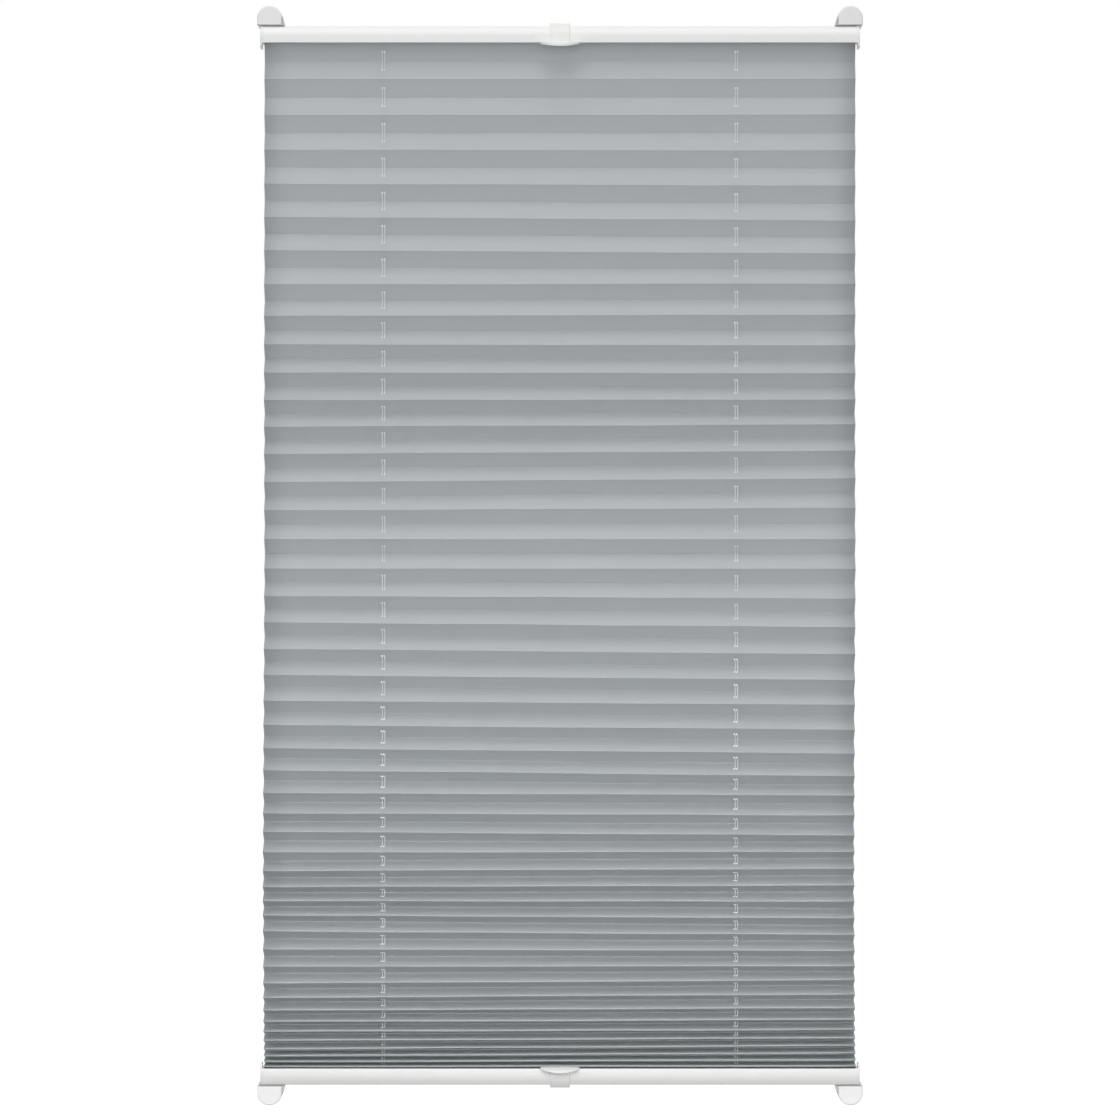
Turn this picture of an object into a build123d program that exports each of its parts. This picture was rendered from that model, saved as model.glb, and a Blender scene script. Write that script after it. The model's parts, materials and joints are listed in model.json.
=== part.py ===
from math import hypot
import os

from build123d import *

# Pleated window blind held between four shoes, with a movable rail above and below the fabric.
# Millimetres. X runs across the blind, the room is toward -Y, +Z is up.
# The origin is the middle of the four screw holes, on the face that the shoes are screwed to.

# Overall sizes
blind_width = 750.0
rail_spread = 1325.0
rail_depth = 27.0
rail_height = 21.0

# Rail extrusion
rail_wall = 1.2
rail_side_flat = 4.0
rail_crown_width = 12.0
rail_crown_radius = 1.5
slot_width = 16.0
lip_thickness = 1.2
rib_thickness = 1.0
rib_reach = 3.5

# Strip that holds the fabric's end in the rail
strip_width = 20.0
strip_thickness = 1.6
strip_end_gap = 1.0

# Fabric
panel_width = 25.0
fabric_thickness = 0.3
fabric_end_gap = 0.5
tab_depth = 10.5
last_panel_rise = 4.0
stack_per_pleat = 1.8
# Fold spacing from the top pleat to the bottom one, as share of the pleats passed and spacing.
pitch_stations = (
    (0.000, 45.8),
    (0.090, 42.5),
    (0.155, 39.2),
    (0.200, 35.0),
    (0.245, 32.2),
    (0.340, 37.9),
    (0.410, 33.9),
    (0.500, 30.2),
    (0.560, 25.9),
    (0.645, 22.1),
    (0.690, 18.7),
    (0.760, 21.4),
    (0.840, 16.9),
    (0.900, 11.4),
    (0.945, 9.5),
    (1.000, 6.9),
)

# Cords
cord_diameter = 1.1
cord_bend_radius = 5.0
cord_hole_spread = 442.0
strand_spacing = 3.0
strand_offset = 2.3
slot_across = 1.9
slot_along = 3.7
slot_end_taper = 0.75
cord_sides = 8

# Guide that turns the cords down through the strip
guide_height = 6.0
guide_length = 19.0
guide_depth = 12.0
barrel_length = 8.4
barrel_depth = 5.0

# End caps
cap_plate = 2.5
cap_collar = 2.0
cap_overlap = 0.5
collar_overlap = 0.25
ear_drop = 6.0
ear_radius = 3.0
plug_length = 17.0
end_cord_inset = 15.0
cord_channel_depth = 6.4

# Shoes
shoe_flange = 1.2
shoe_width = 31.0
shoe_height = 23.5
shoe_offset = 11.5
shoe_wing = 3.5
shoe_wing_height = 11.0
shoe_hook_drop = 5.5
shoe_depth = 25.0
shoe_plate = 2.5
cover_wall = 1.4
cover_radius = 2.0
ring_wall = 1.5
ring_setback = 4.0
frame_gap = 2.5
screw_hole_diameter = 4.0
screw_head_diameter = 7.4
screw_rise = 15.0
boss_diameter = 10.0
boss_height = 4.0
anchor_width = 9.0
anchor_depth = 9.0
anchor_height = 6.0
anchor_bore_depth = 4.5
anchor_rib = 1.2

# Handles
clip_width = 25.0
clip_wall = 2.2
clip_crown = 3.7
clip_hook = 1.2
clip_hook_reach = 3.0
clip_edge_radius = 1.0
grip_width = 49.0
grip_reach = 15.0
grip_drop = 3.8
grip_thickness = 2.6
grip_overhang = 2.5

# Clearances
slide_gap = 0.15
cord_gap = 0.05
part_gap = 0.3
bore_gap = 0.1

# Places worked out from the sizes above. Heights in the top rail count up from its fabric side.
rail_length = blind_width - 2 * (cap_plate + cap_collar)
fabric_width = rail_length - 2 * fabric_end_gap
fabric_drop = rail_spread - 2 * rail_height
face_z = fabric_drop / 2
cord_y = -rail_depth / 2 - frame_gap
strip_bottom = face_z + lip_thickness
strip_top = strip_bottom + strip_thickness
rib_bottom = strip_top + part_gap
guide_top = strip_top + guide_height
cord_radius = cord_diameter / 2
throat_radius = cord_bend_radius - cord_radius - cord_gap
run_z = guide_top + cord_gap + cord_radius
cord_x = blind_width / 2 - end_cord_inset
hole_x = cord_hole_spread / 2
flange_bottom = face_z + rail_height + cap_overlap + part_gap
shoe_z = flange_bottom + shoe_flange
shoe_x = blind_width / 2 - shoe_offset
screw_z = shoe_z + screw_rise
anchor_end_z = shoe_z + anchor_bore_depth
throat_half = strand_spacing / 2 + cord_radius + cord_gap
throat_depth = cord_diameter + 2 * part_gap + 2 * cord_gap

plan = Plane(origin=(0, cord_y, 0))
section = Plane(origin=(0, cord_y, 0), x_dir=(0, 1, 0), z_dir=(1, 0, 0))
elevation = Plane(origin=(0, cord_y, 0), x_dir=(1, 0, 0), z_dir=(0, -1, 0))

sides = {"left": -1, "right": 1}
levels = {"top": 1, "bottom": -1}
os.makedirs("parts", exist_ok=True)


def write(part, name):
    part.label = name
    export_step(part, f"parts/{name}.step")


def at_corner(master, side, level):
    """A copy of a top left piece for the named corner."""
    with BuildPart() as piece:
        add(master)
        if side == "right":
            mirror(about=Plane.YZ, mode=Mode.REPLACE)
        if level == "bottom":
            mirror(about=Plane.XY, mode=Mode.REPLACE)
    return piece.part


def draw_rail(ear=0.0):
    """Upright sides at the fabric, then arcs that lean back to the crown, with an ear below when asked for."""
    side = rail_depth / 2
    crown = rail_crown_width / 2
    shoulder = face_z + rail_side_flat
    top = face_z + rail_height
    with BuildSketch() as outline:
        with BuildLine():
            Line((-side, shoulder), (-side, face_z - ear))
            Line((-side, face_z - ear), (side, face_z - ear))
            Line((side, face_z - ear), (side, shoulder))
            TangentArc((side, shoulder), (crown, top), tangent=(0, 1))
            Line((crown, top), (-crown, top))
            TangentArc((-side, shoulder), (-crown, top), tangent=(0, 1))
        make_face()
        crown_corners = outline.vertices().group_by(Axis.Y)[-1]
        fillet(crown_corners, rail_crown_radius)
        if ear:
            ear_corners = outline.vertices().group_by(Axis.Y)[0]
            fillet(ear_corners, ear_radius)
    return outline.sketch


def grown(sketch, amount):
    with BuildSketch() as result:
        offset(sketch, amount=amount, mode=Mode.ADD)
    return result.sketch


def draw_dome(width, height):
    """Upright sides with a half round over them, standing on the sketch's X axis."""
    radius = width / 2
    with BuildSketch() as dome:
        with Locations((0, (height - radius) / 2)):
            Rectangle(width, height - radius)
        with Locations((0, height - radius)):
            Circle(radius)
        with Locations((0, -radius)):
            Rectangle(width, 2 * radius, mode=Mode.SUBTRACT)
    return dome.sketch


rail_outline = draw_rail()
rail_hollow = grown(rail_outline, -rail_wall)
cap_outline = draw_rail(ear=ear_drop)

# Rail: one extrusion with a slot for the fabric, lips and ribs that hold the strip, and a hollow above.
with BuildPart() as top_rail:
    with BuildSketch(section):
        add(rail_outline)
        add(rail_hollow, mode=Mode.SUBTRACT)
        with Locations((0, face_z + lip_thickness / 2)):
            Rectangle(slot_width, lip_thickness + rail_wall, mode=Mode.SUBTRACT)
        for side in (-1, 1):
            rib_y = side * (rail_depth / 2 - rail_wall - rib_reach / 2 + rail_wall / 4)
            with Locations((rib_y, rib_bottom + rib_thickness / 2)):
                Rectangle(rib_reach + rail_wall / 2, rib_thickness)
    extrude(amount=rail_length / 2, both=True)
    # A notch in the crown at each end lets the cords out.
    notch_length = end_cord_inset - cap_plate - cap_collar + cord_bend_radius
    with Locations(*[(s * (rail_length - notch_length) / 2, cord_y, face_z + rail_height) for s in (-1, 1)]):
        Box(notch_length, cord_channel_depth, 4 * rail_wall, mode=Mode.SUBTRACT)

write(top_rail.part, "top_rail")
with BuildPart() as bottom_rail:
    mirror(top_rail.part, about=Plane.XY)
write(bottom_rail.part, "bottom_rail")


# Strip: a flat bar on the rail's lips, with a slot for each cord guide.
with BuildPart() as top_strip:
    with BuildSketch(plan.offset(strip_bottom)):
        Rectangle(rail_length - 2 * strip_end_gap, strip_width)
        with Locations((-hole_x, 0), (hole_x, 0)):
            SlotOverall(barrel_length + 2 * slide_gap, barrel_depth + 2 * slide_gap, mode=Mode.SUBTRACT)
    extrude(amount=strip_thickness)

write(top_strip.part, "top_fabric_strip")
with BuildPart() as bottom_strip:
    mirror(top_strip.part, about=Plane.XY)
write(bottom_strip.part, "bottom_fabric_strip")


# Cord guide: a block on the strip whose barrel goes down through it, with a trumpet mouth for two strands.
with BuildPart() as cord_guide:
    with BuildSketch(plan.offset(strip_top)):
        with Locations((-hole_x, 0)):
            RectangleRounded(guide_length, guide_depth, 2 * rib_thickness)
    extrude(amount=guide_height)
    with BuildSketch(plan.offset(strip_bottom)):
        with Locations((-hole_x, 0)):
            SlotOverall(barrel_length, barrel_depth)
    extrude(amount=strip_thickness)
    with BuildSketch(elevation.offset(-throat_depth / 2)):
        with BuildLine():
            mouth = throat_half + throat_radius
            neck_z = guide_top - throat_radius
            Line((-hole_x - mouth, guide_top), (-hole_x + mouth, guide_top))
            TangentArc((-hole_x + throat_half, neck_z), (-hole_x + mouth, guide_top), tangent=(0, 1))
            Line((-hole_x + throat_half, neck_z), (-hole_x + throat_half, strip_bottom))
            Line((-hole_x + throat_half, strip_bottom), (-hole_x - throat_half, strip_bottom))
            Line((-hole_x - throat_half, strip_bottom), (-hole_x - throat_half, neck_z))
            TangentArc((-hole_x - throat_half, neck_z), (-hole_x - mouth, guide_top), tangent=(0, 1))
        make_face()
    extrude(amount=throat_depth, mode=Mode.SUBTRACT)

# End cap: a plate with an ear beside the fabric, a collar against the rail and a plug with the cord's bend.
cap_outer = -blind_width / 2
collar_outer = cap_outer + cap_plate
rail_end = -rail_length / 2
plug_bottom = rib_bottom + rib_thickness + part_gap
with BuildPart() as end_cap:
    with BuildSketch(section.offset(cap_outer)):
        add(grown(cap_outline, cap_overlap))
    extrude(amount=cap_plate)
    outer_rim = end_cap.faces().sort_by(Axis.X)[0].edges()
    chamfer(outer_rim, cap_overlap / 2)
    with BuildSketch(section.offset(collar_outer)):
        add(grown(rail_outline, collar_overlap))
    extrude(amount=cap_collar)
    with BuildSketch(section.offset(rail_end)):
        add(grown(rail_hollow, -slide_gap))
        with Locations((0, plug_bottom - rail_height)):
            Rectangle(rail_depth, 2 * rail_height, mode=Mode.SUBTRACT)
    extrude(amount=plug_length)
    with BuildSketch(elevation.offset(-cord_channel_depth / 2)) as channel:
        inner_x = -cord_x + cord_radius + cord_gap
        outer_x = -cord_x - cord_diameter
        top_z = face_z + rail_height
        with BuildLine():
            Polyline(
                (outer_x, top_z),
                (inner_x, top_z),
                (inner_x, run_z + cord_radius + cord_gap),
                (rail_end + plug_length, run_z + cord_radius + cord_gap),
                (rail_end + plug_length, run_z - cord_diameter),
                (outer_x, run_z - cord_diameter),
                close=True,
            )
        make_face()
        bend = channel.vertices().sort_by_distance((inner_x, run_z, 0))[0]
        fillet(bend, throat_radius)
    extrude(amount=cord_channel_depth, mode=Mode.SUBTRACT)


# Shoe base: plate on the window frame, flange that the cover closes on, ring wall, screw boss, cord seat.
# Its sketches lie on the window frame: X runs across the blind, Y is up, and an offset goes toward the room.
shoe_plane = Plane(origin=(-shoe_x, 0, shoe_z), x_dir=(1, 0, 0), z_dir=(0, -1, 0))
ring_width = shoe_width - 2 * (cover_wall + part_gap)
ring_height = shoe_height - cover_wall - part_gap
cord_in_shoe = shoe_x - cord_x
with BuildPart() as shoe_base:
    with BuildSketch(shoe_plane):
        add(draw_dome(shoe_width, shoe_height))
    extrude(amount=shoe_plate)
    with BuildSketch(shoe_plane):
        half = shoe_width / 2
        cap_side = shoe_x - blind_width / 2 - part_gap
        with BuildLine():
            Polyline(
                (-half, 0),
                (cap_side, -shoe_flange - shoe_hook_drop),
                (cap_side, -shoe_flange),
                (half + shoe_wing, -shoe_flange),
                (half + shoe_wing, -shoe_flange / 2),
                (half + part_gap, shoe_wing_height),
                (half + part_gap, 0),
                close=True,
            )
        make_face()
    extrude(amount=shoe_depth - cover_radius / 2)
    with BuildSketch(shoe_plane.offset(shoe_plate)):
        add(draw_dome(ring_width, ring_height))
    extrude(amount=shoe_depth - shoe_plate - ring_setback)
    with BuildSketch(shoe_plane.offset(shoe_plate)):
        add(draw_dome(ring_width - 2 * ring_wall, ring_height - ring_wall))
    extrude(amount=shoe_depth, mode=Mode.SUBTRACT)
    with BuildSketch(shoe_plane.offset(shoe_plate)):
        with Locations((0, screw_rise)):
            Circle(boss_diameter / 2)
    extrude(amount=boss_height)
    with Locations(shoe_plane.offset(shoe_plate + boss_height)):
        with Locations((0, screw_rise)):
            CounterSinkHole(screw_hole_diameter / 2, screw_head_diameter / 2)
    with BuildSketch(shoe_plane.offset(shoe_plate)):
        rib_shift = anchor_width / 2 + part_gap + anchor_rib / 2
        with Locations((cord_in_shoe - rib_shift, anchor_height / 2), (cord_in_shoe + rib_shift, anchor_height / 2)):
            Rectangle(anchor_rib, anchor_height)
    extrude(amount=shoe_depth - shoe_plate - ring_setback)
    with Locations((-cord_x, cord_y, shoe_z - shoe_flange / 2)):
        Box(anchor_width - 2 * anchor_rib, cord_channel_depth, shoe_flange, mode=Mode.SUBTRACT)

# Shoe cover: a domed shell, open at the back and on the flange.
with BuildPart() as shoe_cover:
    with BuildSketch(shoe_plane.offset(shoe_plate)):
        add(draw_dome(shoe_width, shoe_height))
    extrude(amount=shoe_depth - shoe_plate)
    front_rim = shoe_cover.faces().sort_by(Axis.Y)[0].edges()
    fillet(front_rim.sort_by(Axis.Z)[1:], cover_radius)
    with BuildSketch(shoe_plane.offset(shoe_plate)):
        add(draw_dome(shoe_width - 2 * cover_wall, shoe_height - cover_wall))
    extrude(amount=shoe_depth - shoe_plate - cover_wall, mode=Mode.SUBTRACT)

# Cord anchor: a block on the flange with two blind bores from below, where the strands are clamped.
with BuildPart() as cord_anchor:
    with BuildSketch(plan.offset(shoe_z)):
        with Locations((-cord_x, 0)):
            RectangleRounded(anchor_width, anchor_depth, anchor_rib)
    extrude(amount=anchor_height)
    with BuildSketch(plan.offset(shoe_z)):
        with Locations((-cord_x, 0), (-cord_x, strand_offset)):
            Circle(cord_radius + bore_gap)
    extrude(amount=anchor_bore_depth, mode=Mode.SUBTRACT)

for side in sides:
    for level in levels:
        corner = f"{level}_{side}"
        write(at_corner(cord_guide.part, side, level), f"cord_guide_{corner}")
        write(at_corner(end_cap.part, side, level), f"end_cap_{corner}")
        write(at_corner(shoe_base.part, side, level), f"shoe_base_{corner}")
        write(at_corner(shoe_cover.part, side, level), f"shoe_cover_{corner}")
        # The crossing strand stands behind the other on the left and in front of it on the right.
        if side == "left":
            anchor = at_corner(cord_anchor.part, side, level)
        else:
            with BuildPart() as turned:
                mirror(cord_anchor.part, about=elevation)
            anchor = at_corner(turned.part, side, level)
        write(anchor, f"cord_anchor_{corner}")


# Fabric: one zigzag sheet. Its ends lie flat on the strips, and each panel is punched where the cords pass.
def spacing_at(share):
    for (a, low), (b, high) in zip(pitch_stations, pitch_stations[1:]):
        if share <= b:
            return low + (high - low) * (share - a) / (b - a)
    return pitch_stations[-1][1]


mean_spacing = sum(
    (b - a) * (low + high) / 2 for (a, low), (b, high) in zip(pitch_stations, pitch_stations[1:])
)
tab_z = strip_bottom - fabric_thickness / 2
pleated_drop = 2 * tab_z - last_panel_rise
pleat_count = round(pleated_drop / mean_spacing)
pitches = [spacing_at(i / (pleat_count - 1)) for i in range(pleat_count)]
stretch = pleated_drop / sum(pitches)
panel_falls = [pitch * stretch / 2 for pitch in pitches for _ in range(2)]
panel_depths = [(panel_width**2 - fall**2) ** 0.5 for fall in panel_falls]

folds = [(-panel_depths[0] / 2 + tab_depth, tab_z), (-panel_depths[0] / 2, tab_z)]
fold_z = tab_z
for i, fall in enumerate(panel_falls):
    fold_z -= fall
    after = panel_depths[min(i + 1, len(panel_depths) - 1)]
    reach = (panel_depths[i] + after) / 4
    folds.append((reach if i % 2 == 0 else -reach, fold_z))
tab_back = tab_depth - panel_depths[0] / 2
folds.append((tab_back, -tab_z))
folds.append((tab_back - tab_depth, -tab_z))


def unit(start, end):
    length = hypot(end[0] - start[0], end[1] - start[1])
    return ((end[0] - start[0]) / length, (end[1] - start[1]) / length)


def sheet_edge(points, shift):
    """The folded line moved sideways by shift, with its corners mitred."""
    directions = [unit(a, b) for a, b in zip(points, points[1:])]
    before = [directions[0], *directions]
    after = [*directions, directions[-1]]
    edge = []
    for (y, z), a, b in zip(points, before, after):
        spread = 1 + a[0] * b[0] + a[1] * b[1]
        edge.append((y - shift * (a[1] + b[1]) / spread, z + shift * (a[0] + b[0]) / spread))
    return edge


punches = []
for (y0, z0), (y1, z1) in zip(folds[1:-1], folds[2:-1]):
    z = z0 + (z1 - z0) * y0 / (y0 - y1)
    for s in (-1, 1):
        punches.append(Plane(origin=(s * hole_x, cord_y, z), x_dir=(1, 0, 0), z_dir=(0, z0 - z1, y1 - y0)))
for s in (-1, 1):
    for z in (tab_z, -tab_z):
        punches.append(Plane(origin=(s * hole_x, cord_y, z), x_dir=(1, 0, 0)))
# A punch cuts two slots side by side, one for each strand.
with BuildPart() as punch:
    with BuildSketch():
        with Locations((-strand_spacing / 2, 0), (strand_spacing / 2, 0)):
            Polygon(
                (0, slot_along / 2),
                (-slot_across / 2, slot_along / 2 - slot_end_taper),
                (-slot_across / 2, slot_end_taper - slot_along / 2),
                (0, -slot_along / 2),
                (slot_across / 2, slot_end_taper - slot_along / 2),
                (slot_across / 2, slot_along / 2 - slot_end_taper),
            )
    extrude(amount=2 * fabric_thickness, both=True)

with BuildPart() as pleated_fabric:
    with BuildSketch(section):
        front = sheet_edge(folds, fabric_thickness / 2)
        back = sheet_edge(folds, -fabric_thickness / 2)
        with BuildLine():
            Polyline(*front, *reversed(back), close=True)
        make_face()
    extrude(amount=fabric_width / 2, both=True)
    with Locations(*punches):
        add(punch.part, mode=Mode.SUBTRACT)
write(pleated_fabric.part, "pleated_fabric")


# Cords: each strand leaves a shoe, bends into the rail's end, turns down through the fabric at a guide,
# and comes back to the shoe below. The inner strands cross to the other side inside both rails.
def cord(side, crosses):
    start = side * cord_x
    hole = (-side if crosses else side) * hole_x
    hole += side * strand_spacing / 2
    lie = cord_y - side * strand_offset if crosses else cord_y
    with BuildPart() as strand:
        with BuildLine() as route:
            FilletPolyline(
                (start, lie, anchor_end_z),
                (start, lie, run_z),
                (hole, cord_y, run_z),
                (hole, cord_y, -run_z),
                (start, lie, -run_z),
                (start, lie, -anchor_end_z),
                radius=cord_bend_radius,
            )
        with BuildSketch(Plane(origin=route.wire() @ 0, z_dir=route.wire() % 0)):
            RegularPolygon(cord_radius, cord_sides)
        sweep()
    return strand.part


write(cord(-1, crosses=False), "left_outer_cord")
write(cord(1, crosses=True), "left_inner_cord")
write(cord(1, crosses=False), "right_outer_cord")
write(cord(-1, crosses=True), "right_inner_cord")


# Handles: a clip round the rail with a half moon grip that leans down and toward the room.
with BuildPart() as clip_crest:
    with BuildSketch(section.offset(-clip_width / 2)):
        with Locations((0, face_z + rail_height + clip_crown / 2)):
            RectangleRounded(rail_crown_width, clip_crown, rail_crown_radius)
    extrude(amount=clip_width)
    crest_ends = clip_crest.faces().sort_by(Axis.X)
    fillet(crest_ends[0].edges() + crest_ends[-1].edges(), clip_edge_radius)

with BuildPart() as clip:
    with BuildSketch(section):
        add(grown(rail_outline, part_gap + clip_wall))
        with Locations((0, face_z - part_gap - clip_hook - rail_depth / 2)):
            Rectangle(2 * rail_depth, rail_depth, mode=Mode.SUBTRACT)
    extrude(amount=clip_width / 2, both=True)
    clip_ends = clip.faces().sort_by(Axis.X)
    fillet(clip_ends[0].edges() + clip_ends[-1].edges(), clip_edge_radius)
    add(clip_crest.part)
    with BuildSketch(section):
        add(grown(rail_outline, part_gap))
    extrude(amount=clip_width / 2, both=True, mode=Mode.SUBTRACT)
    with Locations((0, cord_y, face_z)):
        Box(clip_width, rail_depth - 2 * clip_hook_reach, 2 * rail_side_flat, mode=Mode.SUBTRACT)


def grip(root_z):
    """The half moon in plan, cut from a band that droops from root_z toward the room."""
    root_y = -rail_depth / 2 - part_gap - clip_wall / 2
    tip_y = root_y - grip_reach
    with BuildPart() as half_moon:
        with BuildSketch(plan.offset(root_z - 2 * grip_drop)):
            with Locations((0, root_y)):
                Ellipse(grip_width / 2, grip_reach)
                with Locations((0, grip_reach)):
                    Rectangle(grip_width, 2 * grip_reach, mode=Mode.SUBTRACT)
        extrude(amount=4 * grip_drop)
        with BuildSketch(section):
            with BuildLine():
                Line((root_y, root_z), (root_y, root_z - grip_thickness))
                TangentArc(
                    (root_y, root_z - grip_thickness),
                    (tip_y, root_z - grip_drop - grip_thickness),
                    tangent=(-1, 0),
                )
                Line((tip_y, root_z - grip_drop - grip_thickness), (tip_y, root_z - grip_drop))
                TangentArc((root_y, root_z), (tip_y, root_z - grip_drop), tangent=(-1, 0))
            make_face()
        extrude(amount=grip_width, both=True, mode=Mode.INTERSECT)
    return half_moon.part


with BuildPart() as top_handle:
    add(clip.part)
    add(grip(face_z - grip_overhang + grip_thickness))
write(top_handle.part, "top_handle")

with BuildPart() as bottom_handle:
    mirror(clip.part, about=Plane.XY)
    add(grip(-face_z + grip_overhang))
write(bottom_handle.part, "bottom_handle")

travel = (fabric_drop - pleat_count * stack_per_pleat) / 2
print(f"{pleat_count} pleats, stretch {stretch:.4f}, each rail travels {travel:.1f} mm")
print(f"panel width when hung: {hypot(folds[3][0] - folds[2][0], folds[3][1] - folds[2][1]):.2f} mm")
print(f"screw holes {2 * shoe_x:.1f} x {2 * screw_z:.1f} mm apart, on the face y = 0")
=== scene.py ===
import json
import math

import bpy
import numpy as np
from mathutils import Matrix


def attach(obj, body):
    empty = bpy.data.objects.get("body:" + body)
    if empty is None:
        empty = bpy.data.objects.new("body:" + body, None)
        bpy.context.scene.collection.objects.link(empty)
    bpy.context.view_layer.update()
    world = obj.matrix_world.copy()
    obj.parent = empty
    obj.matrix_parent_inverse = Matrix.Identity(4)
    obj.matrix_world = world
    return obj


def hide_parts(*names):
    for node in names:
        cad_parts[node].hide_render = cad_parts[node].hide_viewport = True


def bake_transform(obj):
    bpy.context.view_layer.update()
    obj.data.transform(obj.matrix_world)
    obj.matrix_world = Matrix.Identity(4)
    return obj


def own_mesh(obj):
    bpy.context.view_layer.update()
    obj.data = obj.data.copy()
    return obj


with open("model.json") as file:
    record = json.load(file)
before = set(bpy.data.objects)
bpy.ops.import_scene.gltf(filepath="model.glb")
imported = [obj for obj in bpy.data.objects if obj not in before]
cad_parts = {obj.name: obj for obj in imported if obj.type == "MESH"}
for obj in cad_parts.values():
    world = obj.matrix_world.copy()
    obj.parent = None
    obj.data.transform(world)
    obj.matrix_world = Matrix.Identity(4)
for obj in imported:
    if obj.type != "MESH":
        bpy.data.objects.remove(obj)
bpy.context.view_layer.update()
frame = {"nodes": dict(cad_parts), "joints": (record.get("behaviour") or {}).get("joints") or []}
nodes = frame["nodes"]
print("frame loaded:", len(nodes), "nodes")


# A value inside a shader. Sums, differences and products of it add their own Math nodes.
class Signal:
    def __init__(self, owner, socket):
        self.owner = owner
        self.socket = socket

    def math(self, operation, *others):
        return self.owner.add("Math", {"operation": operation}, dict(enumerate([self, *others])))

    def __add__(self, other):
        return self.math("ADD", other)

    def __sub__(self, other):
        return self.math("SUBTRACT", other)

    def __mul__(self, other):
        return self.math("MULTIPLY", other)

    def __rsub__(self, other):
        return self.owner.add("Math", {"operation": "SUBTRACT"}, {0: other, 1: self})

    __radd__ = __add__
    __rmul__ = __mul__


# The node tree of a material or of the world.
class ShaderTree:
    def __init__(self, tree):
        self.tree = tree

    # Any node: its type, its settings, which are set first, and the values or links of its sockets.
    def add(self, kind, settings=None, sockets=None, output=0):
        node = self.tree.nodes.new("ShaderNode" + kind)
        for key, value in (settings or {}).items():
            if key == "stops":
                for element, (place, level) in zip(node.color_ramp.elements, value):
                    element.position = place
                    element.color = (level, level, level, 1)
            else:
                setattr(node, key, value)
        self.feed(node, sockets or {})
        return Signal(self, node.outputs[output])

    def feed(self, node, sockets):
        for key, value in sockets.items():
            if isinstance(value, Signal):
                self.tree.links.new(value.socket, node.inputs[key])
            else:
                node.inputs[key].default_value = value

    # 1 where something is looked at, by the camera, in a mirror or through glass, and 0 where it only gives light.
    def lookedAt(self):
        camera = self.add("LightPath", output="Is Camera Ray")
        mirror = self.add("LightPath", output="Is Glossy Ray")
        glass = self.add("LightPath", output="Is Transmission Ray")
        return camera.math("MAXIMUM", mirror).math("MAXIMUM", glass)


# One material with its Principled shader.
class Finish(ShaderTree):
    def __init__(self, name, **constants):
        self.material = bpy.data.materials.new(name)
        self.material.use_nodes = True
        super().__init__(self.material.node_tree)
        self.shader = self.tree.nodes["Principled BSDF"]
        self.surface(**constants)

    def surface(self, **sockets):
        self.feed(self.shader, {key.replace("_", " "): value for key, value in sockets.items()})

    # Shows another shader in place of the Principled one.
    def show(self, shader):
        self.feed(self.tree.nodes["Material Output"], {"Surface": shader})

    def place(self, scale=(1, 1, 1), turn=(0, 0, 0)):
        coordinates = self.add("TexCoord", output="Object")
        return self.add("Mapping", None, {"Vector": coordinates, "Scale": scale, "Rotation": turn})

    def noise(self, where, scale, detail=2.0, roughness=0.5, output=0):
        sockets = {"Vector": where, "Scale": scale, "Detail": detail, "Roughness": roughness}
        return self.add("TexNoise", {"noise_dimensions": "3D"}, sockets, output)

    def mixed(self, share, first, second):
        settings = {"data_type": "RGBA", "blend_type": "MIX"}
        return self.add("Mix", settings, {0: share, 6: first, 7: second}, output=2)

    def bump(self, height, distance, strength):
        return self.add("Bump", None, {"Height": height, "Distance": distance, "Strength": strength})


# A colour as a shader takes it, with all its channels scaled by one factor or each by its own.
def tinted(colour, factor=1.0):
    return (*(np.array(colour) * factor).tolist(), 1.0)


powderCoat = {
    "colour": (0.90, 0.90, 0.893),
    "roughness": 0.36,
    "peelScale": 750,
    "peelDepth": 0.000012,
    "pinholeScale": 5200,
    "driftScale": 6,
    "driftStretch": (3, 40, 40),  # the gloss changes slowly along the bar and faster across it
}


# Satin powder coat: orange peel, finer pinholes, and a faint change of gloss along the length.
def makePowderCoat():
    f = Finish("powderCoat", Coat_Weight=0.12, Coat_Roughness=0.2)
    where = f.place()
    peel = f.noise(where, powderCoat["peelScale"], 2.0, 0.45)
    pinholes = f.noise(where, powderCoat["pinholeScale"], 1.0)
    drift = f.noise(f.place(powderCoat["driftStretch"]), powderCoat["driftScale"], 3.0)
    dark = tinted(powderCoat["colour"], (0.96, 0.96, 0.955))
    pale = tinted(powderCoat["colour"], (1.03, 1.03, 1.035))
    f.surface(
        Base_Color=f.mixed(drift * 0.5 + pinholes * 0.5, dark, pale),
        Roughness=powderCoat["roughness"] + (drift - 0.5) * 0.12 + (pinholes - 0.5) * 0.08,
        Normal=f.bump(peel + pinholes * 0.25, powderCoat["peelDepth"], 0.8),
    )
    return f


# softness is the share of light that enters the plastic and leaves it a little further on,
# contrast how much its colour varies, and grainDepth is in metres
mouldings = {
    "capPlastic": {"colour": (0.87, 0.87, 0.865), "roughness": 0.42, "grainScale": 2600, "grainDepth": 0.000012},
    "coverPlastic": {"colour": (0.90, 0.90, 0.895), "roughness": 0.45, "grainScale": 2300, "grainDepth": 0.000014},
    "handlePlastic": {"colour": (0.88, 0.88, 0.87), "roughness": 0.38, "grainScale": 2900, "grainDepth": 0.000010},
    "basePlastic": {
        "colour": (0.55, 0.55, 0.555), "roughness": 0.5, "grainScale": 1900, "grainDepth": 0.00002,
        "softness": 0.0, "contrast": 0.08,
    },
    "guideAcetal": {
        "colour": (0.74, 0.735, 0.70), "roughness": 0.34, "grainScale": 3400, "grainDepth": 0.000006,
        "softness": 0.15, "contrast": 0.03,
    },
}


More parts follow.
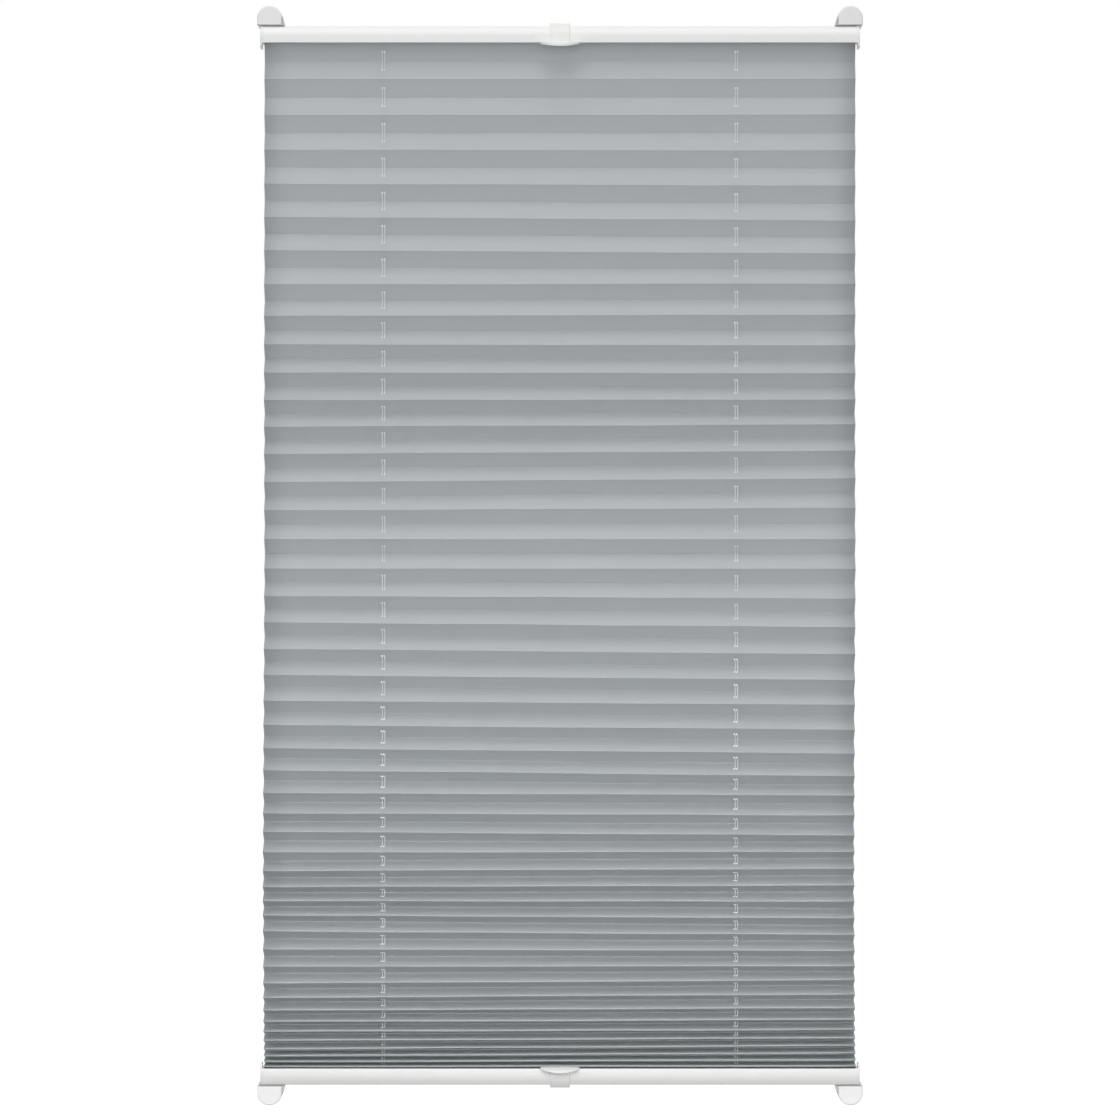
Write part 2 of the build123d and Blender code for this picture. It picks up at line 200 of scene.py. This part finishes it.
# Moulded plastic: a fine spark-eroded grain, slow flow marks from the gate, and scuffs that are a little glossier.
def makeMoulded(name, colour, roughness, grainScale, grainDepth, softness=0.04, contrast=0.04):
    f = Finish(name, Subsurface_Weight=softness, Subsurface_Scale=0.002, Specular_IOR_Level=0.45)
    where = f.place()
    grain = f.noise(where, grainScale, 3.0, 0.6)
    pits = f.add("TexVoronoi", {"feature": "F1"}, {"Vector": where, "Scale": grainScale * 0.6})
    flow = f.noise(f.place((1, 1, 0.35), (0.3, 0.2, 0.4)), 90, 3.0, 0.55)
    scuff = f.add("ValToRGB", {"stops": ((0.62, 0.0), (0.74, 1.0))}, {"Fac": f.noise(where, 210, 5.0, 0.65)})
    f.surface(
        Base_Color=f.mixed(flow * 0.6 + grain * 0.4, tinted(colour, 1 - contrast), tinted(colour, 1 + contrast)),
        Roughness=roughness + (grain - 0.5) * 0.14 - scuff * 0.07,
        Normal=f.bump(grain * 0.6 + pits * 0.4, grainDepth, 0.7),
    )
    return f


millFinish = {
    "dark": (0.60, 0.61, 0.62),
    "pale": (0.80, 0.81, 0.82),
    "lineScale": (4, 2600, 2600),  # along the bar, where the lines are long, and across it
    "lineDepth": 0.000006,
    "stainScale": (12, 60, 60),
}


# Mill finish aluminium: drawn lines along the bar, a cool grey with stains, and gloss that follows the lines.
def makeMillFinish():
    f = Finish("millAluminium", Metallic=1.0)
    lines = f.noise(f.place(millFinish["lineScale"]), 1.0, 4.0, 0.7)
    stains = f.noise(f.place(millFinish["stainScale"]), 1.5, 4.0)
    f.surface(
        Base_Color=f.mixed(lines * 0.5 + stains * 0.5, tinted(millFinish["dark"]), tinted(millFinish["pale"])),
        Roughness=0.34 + lines * 0.16 + stains * 0.08,
        Normal=f.bump(lines, millFinish["lineDepth"], 0.6),
    )
    return f


crepe = {
    "thread": 0.00030,  # threads' spacing across and along the cloth
    "wander": 0.00022,  # how far a thread strays from its line
    "wanderScale": 700,
    "colour": (0.575, 0.593, 0.60),
    # painted shade: the darker colour painted in the gaps between the threads
    "gap": (0.43, 0.448, 0.457),  # between the threads
    "slubScale": (70, 2300, 1),  # of thick places in the weft, across the cloth and along it
    "warpSlubScale": (2600, 45, 1),
    "cloudScale": 9,
    "bumpDepth": 0.00003,
    "through": (0.85, 0.875, 0.89),  # colour of the light that the threads let through
    "sheer": 0.38,  # share of light that goes through instead of back
}


# Crepe polyester, on the cloth's own flat coordinates. Warp and weft cross as a plain weave whose threads wander
# by a slow noise, with painted shade in the gaps between them; thicker weft threads make slubs; beside every fold
# the colour is painted paler, a painted highlight on the creases, and the pressed cloth is smoother there.
def makeCrepe():
    f = Finish("crepeCloth", Sheen_Weight=0.10, Sheen_Roughness=0.5, Specular_IOR_Level=0.25)
    flat = f.add("UVMap", {"uv_map": "cloth"})
    wander = f.noise(flat, crepe["wanderScale"], output="Color")
    stray = (crepe["wander"], crepe["wander"], 0)
    shifted = f.add("VectorMath", {"operation": "MULTIPLY_ADD"}, {0: wander, 1: stray, 2: flat})
    across = f.add("SeparateXYZ", None, {"Vector": shifted}, output="X")
    along = f.add("SeparateXYZ", None, {"Vector": shifted}, output="Y")
    warp = (across * (math.pi / crepe["thread"])).math("SINE")
    weft = (along * (math.pi / crepe["thread"])).math("SINE")
    over = (warp * weft * 3.0 + 0.5).math("MINIMUM", 1.0).math("MAXIMUM", 0.0)
    height = warp.math("ABSOLUTE") * over + weft.math("ABSOLUTE") * (1 - over)
    slub = f.noise(f.add("Mapping", None, {"Vector": flat, "Scale": crepe["slubScale"]}), 1.0, 3.0, 0.6)
    warpSlub = f.noise(f.add("Mapping", None, {"Vector": flat, "Scale": crepe["warpSlubScale"]}), 1.0, 2.0, 0.5)
    cloud = f.noise(flat, crepe["cloudScale"], 3.0)
    # nearness to a fold: it paints a highlight along every crease, and makes the pressed cloth smoother there
    pressed = f.add("Attribute", {"attribute_name": "pressed"}, output="Fac")
    # share of the pale colour: low between the threads, painted shade there; higher on slubs, in random clouds, and
    # beside the folds, a painted highlight
    cover = height * 0.55 + slub * 0.35 + warpSlub * 0.15 + (cloud - 0.5) * 0.15 + pressed * 0.16
    f.surface(
        Base_Color=f.mixed(cover.math("MINIMUM", 1.0), tinted(crepe["gap"]), tinted(crepe["colour"], 1.06)),
        Roughness=0.86 - pressed * 0.10 + (slub - 0.5) * 0.12,
        Normal=f.bump(height + slub * 0.8 + warpSlub * 0.3, crepe["bumpDepth"], 0.7),
    )
    back = Signal(f, f.shader.outputs["BSDF"])
    through = f.add("BsdfTranslucent", None, {"Color": tinted(crepe["through"])})
    f.show(f.add("MixShader", None, {0: crepe["sheer"], 1: back, 2: through}))
    return f


braid = {
    "pitch": 0.0016,
    "carriers": 4,
    "colour": (0.90, 0.91, 0.91),
    # painted shade: the darker colour painted in the grooves between the strands
    "groove": (0.68, 0.69, 0.695),
    "depth": 0.00006,
    "fuzzScale": 5200,
}


# Braided cord on its own coordinates, turns round it and metres along it: two sets of strands wind opposite ways,
# and where their waves cross the surface is high; the grooves between the strands are painted darker, painted shade.
def makeBraid():
    f = Finish("braidedCord", Sheen_Weight=0.15, Sheen_Roughness=0.4)
    own = f.add("UVMap", {"uv_map": "strand"})
    turns = f.add("SeparateXYZ", None, {"Vector": own}, output="X") * (2 * math.pi * braid["carriers"])
    metres = f.add("SeparateXYZ", None, {"Vector": own}, output="Y") * (2 * math.pi / braid["pitch"])
    rightHand = (turns + metres).math("SINE")
    leftHand = (turns - metres).math("SINE")
    height = rightHand.math("MAXIMUM", leftHand) * 0.5 + 0.5
    fuzz = f.noise(f.place(), braid["fuzzScale"], 2.0)
    f.surface(
        Base_Color=f.mixed(height * 0.8 + fuzz * 0.25, tinted(braid["groove"]), tinted(braid["colour"])),
        Roughness=0.62 + fuzz * 0.2,
        Normal=f.bump(height + fuzz * 0.3, braid["depth"], 0.9),
    )
    return f


# Gives nodes of the CAD their finish.
def dress(names, finish):
    for name in names:
        for materialSlot in nodes[name].material_slots:
            materialSlot.material = finish.material


railFinish = makePowderCoat()
moulded = {name: makeMoulded(name, **settings) for name, settings in mouldings.items()}
stripFinish = makeMillFinish()
clothFinish = makeCrepe()
cordFinish = makeBraid()

corners = [f"{level}_{side}" for level in ("top", "bottom") for side in ("left", "right")]
dress(["top_rail", "bottom_rail"], railFinish)
dress(["top_fabric_strip", "bottom_fabric_strip"], stripFinish)
dress(["top_handle", "bottom_handle"], moulded["handlePlastic"])
dress([f"end_cap_{c}" for c in corners], moulded["capPlastic"])
dress([f"shoe_cover_{c}" for c in corners], moulded["coverPlastic"])
dress([f"shoe_base_{c}" for c in corners], moulded["basePlastic"])
dress([f"cord_guide_{c}" for c in corners], moulded["guideAcetal"])
dress([f"cord_anchor_{c}" for c in corners], moulded["guideAcetal"])
print("finishes made")


def addPiece(name, mesh, finish):
    piece = bpy.data.objects.new(name, mesh)
    bpy.context.scene.collection.objects.link(piece)
    mesh.materials.append(finish.material)
    return piece


fabric = {
    "width": 0.740,
    "panel": 0.025,
    "tab": 0.0105,  # what lies on the strip at either end
    "lastRise": 0.004,  # how far over the lower strip the last fold ends
    "endHeight": 0.64255,  # of the strips over and under the middle of the blind
    "cordPlane": -0.016,
    "thickness": 0.0003,
    "holeAt": 0.221,  # a line of holes from the middle of the blind
    "strandGap": 0.003,  # between the two strands at a line of holes
    "slot": (0.0019, 0.0037),  # a punched slot for one strand, across the cloth and along it
    "patch": 0.0028,  # how far the fine mesh reaches along the cloth from the middle of a slot
    "patchEdge": 0.0004,  # and how far it stays from a crease
    # share of the pleats passed from the top, and the fold spacing there in millimetres
    "spacing": (
        (0.000, 45.8), (0.090, 42.5), (0.155, 39.2), (0.200, 35.0), (0.245, 32.2), (0.340, 37.9),
        (0.410, 33.9), (0.500, 30.2), (0.560, 25.9), (0.645, 22.1), (0.690, 18.7), (0.760, 21.4),
        (0.840, 16.9), (0.900, 11.4), (0.945, 9.5), (1.000, 6.9),
    ),
    # height in millimetres, and how much lower a fold's right end hangs there than its left end
    "lean": (
        (642, 0), (551, -0.6), (488, 1.2), (419, 4.8), (382, 4.6), (341, -0.9), (313, -2.4),
        (263, 1.4), (213, 0.8), (148, -4.0), (69, -5.0), (32, 0), (-16, 1.1), (-87, 6.0),
        (-143, 6.8), (-187, 5.0), (-274, 7.6), (-306, 1.4), (-349, 4.6), (-381, -3.6), (-416, -1.9),
        (-462, 5.5), (-506, 0.6), (-537, -5.2), (-568, -3.1), (-593, -2.2), (-618, -4.6), (-642, 0),
    ),
    # height in millimetres, and how far the folds there lie to the right of the middle
    "drift": (
        (642, 0.0), (400, -0.3), (200, -0.4), (-20, -0.1), (-220, -1.2), (-420, -1.8), (-600, -0.9), (-642, 0.0),
    ),
    "foldRadius": 0.0007,  # of the crease at the front and the back of every pleat
    "tabRadius": 0.0001,  # where the cloth turns over on its strip
    "ripple": 0.00028,  # small waves of a fold line along its length
    "rippleShare": (0.4, 1.0),
    "rippleWave": (0.22, 0.7),
    "calmFolds": 2.0,  # beside the middle one, which both sheets share and which stays straight
    "seed": 7,
    "memory": 0.00034,  # how far a panel bows beside its pressed folds
    "memoryReach": 0.0022,
    "memorySlopes": (10, 70),  # degrees at which the bow starts and is full
    # painted highlight: how far from a fold the painted pale line goes, and with it the smoother pressed finish
    "pressedReach": 0.0009,  # how far from a fold its pale line goes
    "stackRest": 0.0023,  # how far over its strip the closed lower stack stays, to lie on the rail and the clip's hooks
}


# The cloth seen from its edge. Panels of one width hang from the top strip and zigzag about the cord plane: each
# falls half the fold spacing, and its depth is what is left of its width. A tab at each end lies on its strip.
def foldedLine():
    share, spacing = np.array(fabric["spacing"]).T
    drop = 2 * fabric["endHeight"] - fabric["lastRise"]
    meanSpacing = np.sum(np.diff(share) * (spacing[1:] + spacing[:-1]) / 2) / 1000
    count = round(drop / meanSpacing)
    pitches = np.interp(np.linspace(0, 1, count), share, spacing) / 1000
    falls = np.repeat(pitches * drop / pitches.sum() / 2, 2)
    depths = np.sqrt(fabric["panel"] ** 2 - falls**2)
    reach = (depths + np.append(depths[1:], depths[-1])) / 4
    reach[1::2] *= -1
    tabBack = fabric["tab"] - depths[0] / 2
    top, bottom = fabric["endHeight"], -fabric["endHeight"]
    y = np.concatenate([[tabBack, -depths[0] / 2], reach, [tabBack, tabBack - fabric["tab"]]])
    z = np.concatenate([[top, top], top - np.cumsum(falls), [bottom, bottom]])
    return y, z


# Each panel of a run of folds, from the side: the radius of its creases, how steep its straight part is and how long
# that and each of its arcs are. The straight part is the inner tangent of the circles that the creases turn round.
def panelBends(y, z):
    fall, depth = -np.diff(z)[:, None], np.abs(np.diff(y))[:, None]
    radius = np.where(fall > 1e-6, fabric["foldRadius"], fabric["tabRadius"])
    centres = np.hypot(depth - 2 * radius, fall)
    slope = np.arctan2(fall, depth - 2 * radius) - np.arcsin(2 * radius / centres)
    straight = np.sqrt(centres**2 - 4 * radius**2)
    arc = radius * (np.pi / 2 - slope)
    return radius, slope, straight, arc


# How far into the depth and how far down a point lies from its panel's upper fold, for its distance along the cloth.
# A panel leaves its upper fold upright, turns through an arc, runs straight, and turns back upright at its lower
# fold. The memory of the press moves a point square to the panel by s exp(1 - s), up beside the upper fold and down
# beside the lower one, where s is its distance from that fold over the memory's reach.
def panelCurve(along, radius, slope, straight, arc):
    turnedIn = np.minimum(along, arc) / radius
    onFlat = np.clip(along - arc, 0, straight)
    turnedOut = np.maximum(along - (arc + straight), 0) / radius
    run = radius * (1 - np.cos(turnedIn) + np.sin(slope + turnedOut) - np.sin(slope)) + onFlat * np.cos(slope)
    sunk = radius * (np.sin(turnedIn) + np.cos(slope) - np.cos(slope + turnedOut)) + onFlat * np.sin(slope)
    fromUpper = along / fabric["memoryReach"]
    fromLower = (straight + 2 * arc - along) / fabric["memoryReach"]
    bow = fabric["memory"] * np.interp(np.degrees(slope), fabric["memorySlopes"], (0, 1))
    lift = bow * (fromUpper * np.exp(1 - fromUpper) - fromLower * np.exp(1 - fromLower))
    return run + lift * np.sin(slope), sunk - lift * np.cos(slope)


# Which grid point joins which: a grid of rows and columns whose cells round each punched slot are swapped for two
# rings of faces, from the rim of those cells to a middle ring and from there to the slot.
def panelPattern(columnCount, rowCount, slotColumns, slotRow, cells):
    grid = np.arange(rowCount * columnCount).reshape(rowCount, columnCount)
    corner = grid[:-1, :-1]
    quads = np.stack([corner, corner + 1, corner + columnCount + 1, corner + columnCount], axis=-1)
    keep = np.ones(corner.shape, bool)
    rings, ringFaces = [], []
    for number, first in enumerate(slotColumns):
        keep[slotRow:slotRow + cells, first:first + cells] = False
        box = grid[slotRow:slotRow + cells + 1, first:first + cells + 1]
        rim = np.concatenate([box[0, :-1], box[:-1, -1], box[-1, :0:-1], box[:0:-1, 0]])
        middle = grid.size + 2 * number * rim.size + np.arange(rim.size)
        inner = middle + rim.size
        rings.append((rim, middle, inner))
        for outside, inside in ((rim, middle), (middle, inner)):
            ringFaces.append(np.stack([outside, np.roll(outside, -1), np.roll(inside, -1), inside], axis=-1))
    return grid, rings, np.concatenate([quads[keep], *ringFaces])


# A sheet from a run of folds: one pattern of points is laid on every panel and bent with it, and neighbouring panels
# share the row of points in their fold. wave lifts each fold line along its length, and drift shifts it sideways.
def makeSheet(name, y, z, wave, drift, startLength):
    cells = 4  # of the grid that each slot takes up, both ways
    ringShare = 0.55  # of the way from the rim of those cells to the slot, where the middle ring lies
    halfWidth, holeAt, pair = fabric["width"] / 2, fabric["holeAt"], fabric["strandGap"]
    columns = np.concatenate([
        np.linspace(-halfWidth, -holeAt - pair, 5)[:-1],
        np.linspace(-holeAt - pair, -holeAt + pair, 2 * cells + 1),
        np.linspace(-holeAt + pair, holeAt - pair, 10)[1:-1],
        np.linspace(holeAt - pair, holeAt + pair, 2 * cells + 1),
        np.linspace(holeAt + pair, halfWidth, 5)[1:],
    ])
    slotColumns = [np.argmin(np.abs(columns - start)) for start in (-holeAt - pair, -holeAt, holeAt - pair, holeAt)]

    # rows: along the arc, on the straight part, over the slots, and the same again in reverse
    arcRows, flatRows = np.array([0, 0.25, 0.5, 0.75, 1]), np.array([0.15, 0.45])
    radius, slope, straight, arc = panelBends(y, z)
    lengths = straight + 2 * arc
    slotAlong = arc + (np.abs(y[:-1, None]) - radius * (1 - np.sin(slope))) / np.cos(slope)
    room = np.minimum(slotAlong, lengths - slotAlong) - arc - fabric["patchEdge"]
    patch = np.minimum(fabric["patch"], room)
    rows = np.concatenate([
        arcRows * arc,
        arc + flatRows * (slotAlong - patch - arc),
        slotAlong + np.linspace(-1, 1, cells + 1) * patch,
        lengths - arc - flatRows[::-1] * (lengths - slotAlong - patch - arc),
        lengths - arcRows[::-1] * arc,
    ], axis=1)
    panels, rowCount = rows.shape
    slotRow = arcRows.size + flatRows.size
    grid, rings, faces = panelPattern(columns.size, rowCount, slotColumns, slotRow, cells)

    # flat places: x across the cloth and along from the panel's upper fold
    size = grid.size + sum(middle.size + inner.size for _, middle, inner in rings)
    x, along = np.zeros((panels, size)), np.zeros((panels, size))
    x[:, :grid.size] = np.tile(columns, rowCount)
    along[:, :grid.size] = np.repeat(rows, columns.size, axis=1)
    for first, (rim, middle, inner) in zip(slotColumns, rings):
        angle = np.linspace(0, 2 * np.pi, rim.size, endpoint=False) - 3 * np.pi / 4
        x[:, inner] = columns[first + cells // 2] + fabric["slot"][0] / 2 * np.cos(angle)
        along[:, inner] = slotAlong + fabric["slot"][1] / 2 * np.sin(angle)
        for flat in (x, along):
            flat[:, middle] = (1 - ringShare) * flat[:, rim] + ringShare * flat[:, inner]

    run, sunk = panelCurve(along, radius, slope, straight, arc)
    share = along / lengths
    waves = np.stack([
        (1 - share[p]) * np.interp(x[p], waveGrid, wave[p]) + share[p] * np.interp(x[p], waveGrid, wave[p + 1])
        for p in range(panels)
    ])
    points = np.stack([
        x + (1 - share) * drift[:-1, None] + share * drift[1:, None],
        y[:-1, None] + np.sign(np.diff(y))[:, None] * run + fabric["cordPlane"],
        z[:-1, None] - sunk + waves,
    ], axis=-1)
    cloth = startLength + np.concatenate([[0], np.cumsum(lengths)[:-1]])[:, None] + along
    # nearness to the nearest fold, for the painted highlight along the creases and the smoother pressed finish
    pressed = np.exp(-np.minimum(along, lengths - along) / fabric["pressedReach"])

    # a panel's last row comes last, to be the first row of the next panel; points under the slots are left out
    order = np.argsort(np.isin(np.arange(size), grid[-1]), kind="stable")
    order = order[np.isin(order, faces)]
    place = np.full(size, -1)
    place[order] = np.arange(order.size)
    step = order.size - columns.size

    def joined(values):
        ordered = values[:, order]
        return np.concatenate([ordered[:, :step].reshape(panels * step, *values.shape[2:]), ordered[-1, step:]])

    mesh = bpy.data.meshes.new(name)
    mesh.from_pydata(joined(points), [], (place[faces] + step * np.arange(panels)[:, None, None]).reshape(-1, 4))
    loopPoint = np.zeros(len(mesh.loops), int)
    mesh.loops.foreach_get("vertex_index", loopPoint)
    flatPlaces = np.stack([joined(x)[loopPoint], joined(cloth)[loopPoint]], axis=-1)
    mesh.uv_layers.new(name="cloth").data.foreach_set("uv", flatPlaces.ravel().astype(np.float32))
    mesh.attributes.new("pressed", "FLOAT", "POINT").data.foreach_set("value", joined(pressed).astype(np.float32))
    mesh.shade_smooth()
    piece = addPiece(name, mesh, clothFinish)
    wall = piece.modifiers.new("thickness", "SOLIDIFY")
    wall.thickness = fabric["thickness"]
    wall.offset = 0
    return piece, float(lengths.sum())


# How each fold line hangs: the lean from left to right and a ripple of its own, neither at the two strips.
foldY, foldZ = foldedLine()
split = int(np.argmin(np.abs(foldZ)))
waveGrid = np.linspace(-fabric["width"] / 2, fabric["width"] / 2, 61)
leanHeight, leanAmount = np.array(fabric["lean"]).T[:, ::-1] / 1000
driftHeight, driftAmount = np.array(fabric["drift"]).T[:, ::-1] / 1000
generator = np.random.default_rng(fabric["seed"])
waveLength = generator.uniform(*fabric["rippleWave"], (foldZ.size, 1))
phase = generator.uniform(0, 2 * np.pi, (foldZ.size, 1))
amount = fabric["ripple"] * generator.uniform(*fabric["rippleShare"], (foldZ.size, 1))
foldWave = -np.interp(foldZ, leanHeight, leanAmount)[:, None] * (waveGrid / fabric["width"])
foldWave += amount * np.sin(2 * np.pi * waveGrid / waveLength + phase)
foldWave[:2] = 0
foldWave[-2:] = 0
foldWave *= (1 - np.exp(-((np.arange(foldZ.size) - split) / fabric["calmFolds"]) ** 2))[:, None]
foldDrift = np.interp(foldZ, driftHeight, driftAmount)

folds = (foldY, foldZ, foldWave, foldDrift)
upper, upperLength = makeSheet("fabric_upper", *[values[:split + 1] for values in folds], 0.0)
lower, lowerLength = makeSheet("fabric_lower", *[values[split:] for values in folds], upperLength)
middle = float(foldZ[split])
travel = max(max(joint["range_m"]) for joint in frame["joints"])
for piece, joint, strip, length, end, rest in (
    (upper, "upper_rail_slide", "top_fabric_strip", upperLength, fabric["endHeight"], 0.0),
    (lower, "lower_rail_slide", "bottom_fabric_strip", lowerLength, -fabric["endHeight"], fabric["stackRest"]),
):
    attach(piece, "window_side")
    1 - (travel + rest) / abs(end - middle)
    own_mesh(piece)
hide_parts("pleated_fabric")
print("fabric:", foldZ.size - 1, "panels, flat length", round(upperLength + lowerLength, 3))


cord = {
    "radius": 0.00055,
    "runHeight": 0.6509,  # of the level run inside a rail
    "runStart": 0.6459,  # where a strand goes over from its upright part to the bend in its guide
    "stubStart": 0.6559,  # where it leaves the rail's end cap for the shoe
    "anchorEnd": 0.6690,
    "endX": 0.360,  # of a shoe's strands from the middle of the blind
    "behind": 0.0023,  # how far the crossing runs lie off the middle, one in front and one behind
    "bendWidths": 6,  # a bend's reach along the rail, in widths of the cord
    "sides": 12,
    "rows": 24,
}


# A tube: a circle carried along a line of points, square to the line, with turns and metres as its own coordinates.
def makeTube(name, line):
    sides = cord["sides"]
    ahead = np.gradient(line, axis=0)
    ahead /= np.linalg.norm(ahead, axis=1)[:, None]
    across = np.cross(ahead, (0.0, 1.0, 0.0))
    across /= np.linalg.norm(across, axis=1)[:, None]
    up = np.cross(across, ahead)
    turn = np.linspace(0, 2 * np.pi, sides, endpoint=False)[:, None]
    points = line[:, None] + cord["radius"] * (np.cos(turn) * across[:, None] + np.sin(turn) * up[:, None])
    here = np.arange(sides)
    there = np.roll(here, -1)
    ring = np.arange(len(line) - 1)[:, None] * sides
    quads = np.stack([ring + here, ring + sides + here, ring + sides + there, ring + there], axis=-1).reshape(-1, 4)
    lastRing = (len(line) - 1) * sides + here[::-1]
    mesh = bpy.data.meshes.new(name)
    mesh.from_pydata(points.reshape(-1, 3), [], [*quads.tolist(), here.tolist(), lastRing.tolist()])
    turns, nextTurns = here / sides, (here + 1) / sides
    metres = np.concatenate([[0], np.cumsum(np.linalg.norm(np.diff(line, axis=0), axis=1))])
    uv = np.zeros((len(mesh.loops), 2), np.float32)
    quadUv = uv[:quads.size].reshape(len(line) - 1, sides, 4, 2)
    quadUv[..., 0] = np.stack([turns, turns, nextTurns, nextTurns], axis=-1)
    quadUv[..., 1] = np.stack([metres[:-1], metres[1:], metres[1:], metres[:-1]], axis=-1)[:, None]
    mesh.uv_layers.new(name="strand").data.foreach_set("uv", uv.ravel())
    mesh.shade_smooth()
    piece = addPiece(name, mesh, cordFinish)
    return piece


# The line that a strand takes through a rail, as a smooth spline through the route's corners.
def splineLine(route):
    curve = bpy.data.curves.new("route", "CURVE")
    curve.dimensions = "3D"
    spline = curve.splines.new("NURBS")
    spline.points.add(len(route) - 1)
    for point, place in zip(spline.points, route):
        point.co = (*place, 1)
    spline.order_u = 3
    spline.use_endpoint_u = True
    spline.resolution_u = 8
    holder = bpy.data.objects.new("route", curve)
    mesh = bpy.data.meshes.new_from_object(holder)
    line = np.array([v.co for v in mesh.vertices], float)
    bpy.data.objects.remove(holder)
    bpy.data.curves.remove(curve)
    bpy.data.meshes.remove(mesh)
    return line


# Points in equal steps from one height to another, at one place.
def uprightLine(x, y, start, end):
    rows = cord["rows"]
    return np.stack([np.full(rows, x), np.full(rows, y), np.linspace(start, end, rows)], axis=-1)


# each strand's side of the blind at its shoes, and whether it crosses to the other side's holes
strands = {
    "left_outer_cord": (-1, False),
    "left_inner_cord": (1, True),
    "right_outer_cord": (1, False),
    "right_inner_cord": (-1, True),
}
levels = (("top", 1, "upper_rail", "upper_rail_slide"), ("bottom", -1, "lower_rail", "lower_rail_slide"))
plane = fabric["cordPlane"]
nearBend = cord["bendWidths"] * 2 * cord["radius"]
for name, (side, crosses) in strands.items():
    endX = side * cord["endX"]
    holeX = (-side if crosses else side) * fabric["holeAt"] + side * fabric["strandGap"] / 2
    lie = plane - side * cord["behind"] if crosses else plane
    inward = math.copysign(1, holeX - endX)
    label = name.replace("_cord", "")
    for level, sign, body, joint in levels:
        run, anchor = sign * cord["runHeight"], sign * cord["anchorEnd"]
        bendOut, bendIn = sign * cord["stubStart"], sign * cord["runStart"]
        strand = makeTube(f"{label}_strand_{level}", uprightLine(holeX, plane, middle, bendIn))
        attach(strand, "window_side")
        1 - travel / abs(bendIn - middle)
        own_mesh(strand)
        if level == "top":
            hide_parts(name)
        route = [
            (holeX, plane, bendIn),
            (holeX, plane, run),
            (holeX - inward * nearBend, plane + (lie - plane) * nearBend / abs(holeX - endX), run),
            (endX + inward * nearBend, lie, run),
            (endX, lie, run),
            (endX, lie, bendOut),
        ]
        inRail = makeTube(f"{label}_run_{level}", splineLine(route))
        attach(inRail, body)
        stub = makeTube(f"{label}_end_{level}", uprightLine(endX, lie, bendOut, anchor))
        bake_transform(stub)
print("cords made")


white = (1, 1, 1, 1)
studioFloor = {"height": -1.05, "half": 60.0, "grey": (0.42, 0.42, 0.42), "glow": 0.86}


# The floor takes a shadow on its matt grey, and glows where it is looked at, so that it looks white.
def makeFloor():
    half, low = studioFloor["half"], studioFloor["height"]
    mesh = bpy.data.meshes.new("floor")
    mesh.from_pydata([(x * half, y * half, low) for x, y in ((-1, -1), (1, -1), (1, 1), (-1, 1))], [], [(0, 1, 2, 3)])
    f = Finish("studioFloor")
    matt = f.add("BsdfDiffuse", None, {"Color": tinted(studioFloor["grey"])})
    glow = f.add("Emission", None, {"Color": white, "Strength": f.lookedAt() * studioFloor["glow"]})
    f.show(f.add("AddShader", None, {0: matt, 1: glow}))
    addPiece("floor", mesh, f)


worldLight = 0.46


# The world is white where it is looked at, and gives less light than that.
def makeWorld():
    world = bpy.data.worlds.new("studio")
    bpy.context.scene.world = world
    world.use_nodes = True
    w = ShaderTree(world.node_tree)
    around = w.add("Background", None, {"Color": white, "Strength": worldLight})
    backdrop = w.add("Background", None, {"Color": white, "Strength": 1.0})
    both = w.add("MixShader", None, {0: w.lookedAt(), 1: around, 2: backdrop})
    w.feed(w.tree.nodes["World Output"], {"Surface": both})


# size in metres, power in watts, spread in radians
lamps = {
    "topLamp": {"place": (-0.5, -2.9, 5.9), "aim": (0, 0, 0), "size": (4.2, 4.2), "power": 148.0},
    "frontLamp": {"place": (-0.6, -3.6, 0.64), "aim": (0, 0, 0), "size": (2.4, 2.4), "power": 29.0},
    # a grid on this one keeps its light on the folds that lie close together
    "lowLamp": {"place": (0.3, -3.0, 0.2), "aim": (0, 0, -0.92), "size": (1.6, 1.2), "power": 3.6, "spread": 0.95},
    "backLamp": {"place": (1.2, 3.6, 2.8), "aim": (0, 0, 0), "size": (3.0, 2.4), "power": 24.0},
}


# An area lamp that shines straight down, tipped up from there and turned about the vertical to face its aim.
def makeLamp(name, place, aim, size, power, spread=math.pi):
    data = bpy.data.lights.new(name, "AREA")
    data.shape = "RECTANGLE"
    data.size, data.size_y = size
    data.energy = power
    data.spread = spread
    lamp = bpy.data.objects.new(name, data)
    bpy.context.scene.collection.objects.link(lamp)
    x, y, z = np.subtract(aim, place)
    lamp.location = place
    lamp.rotation_euler = (math.atan2(math.hypot(x, y), -z), 0, math.atan2(y, x) - math.pi / 2)


# the picture is frameWidth wide at frontPlane, which is distance away from the lens
camera = {"distance": 6.0, "frontPlane": -0.0295, "frameWidth": 1.4, "height": -0.0056, "sensor": 36}


def makeCamera():
    data = bpy.data.cameras.new("camera")
    data.sensor_width = camera["sensor"]
    data.lens = camera["sensor"] * camera["distance"] / camera["frameWidth"]
    data.clip_end = 400
    eye = bpy.data.objects.new("camera", data)
    bpy.context.scene.collection.objects.link(eye)
    eye.location = (0, camera["frontPlane"] - camera["distance"], camera["height"])
    eye.rotation_euler = (math.pi / 2, 0, 0)
    bpy.context.scene.camera = eye


makeFloor()
makeWorld()
for name, settings in lamps.items():
    makeLamp(name, **settings)
makeCamera()
bpy.context.scene.view_settings.view_transform = "Standard"
print("stage set")
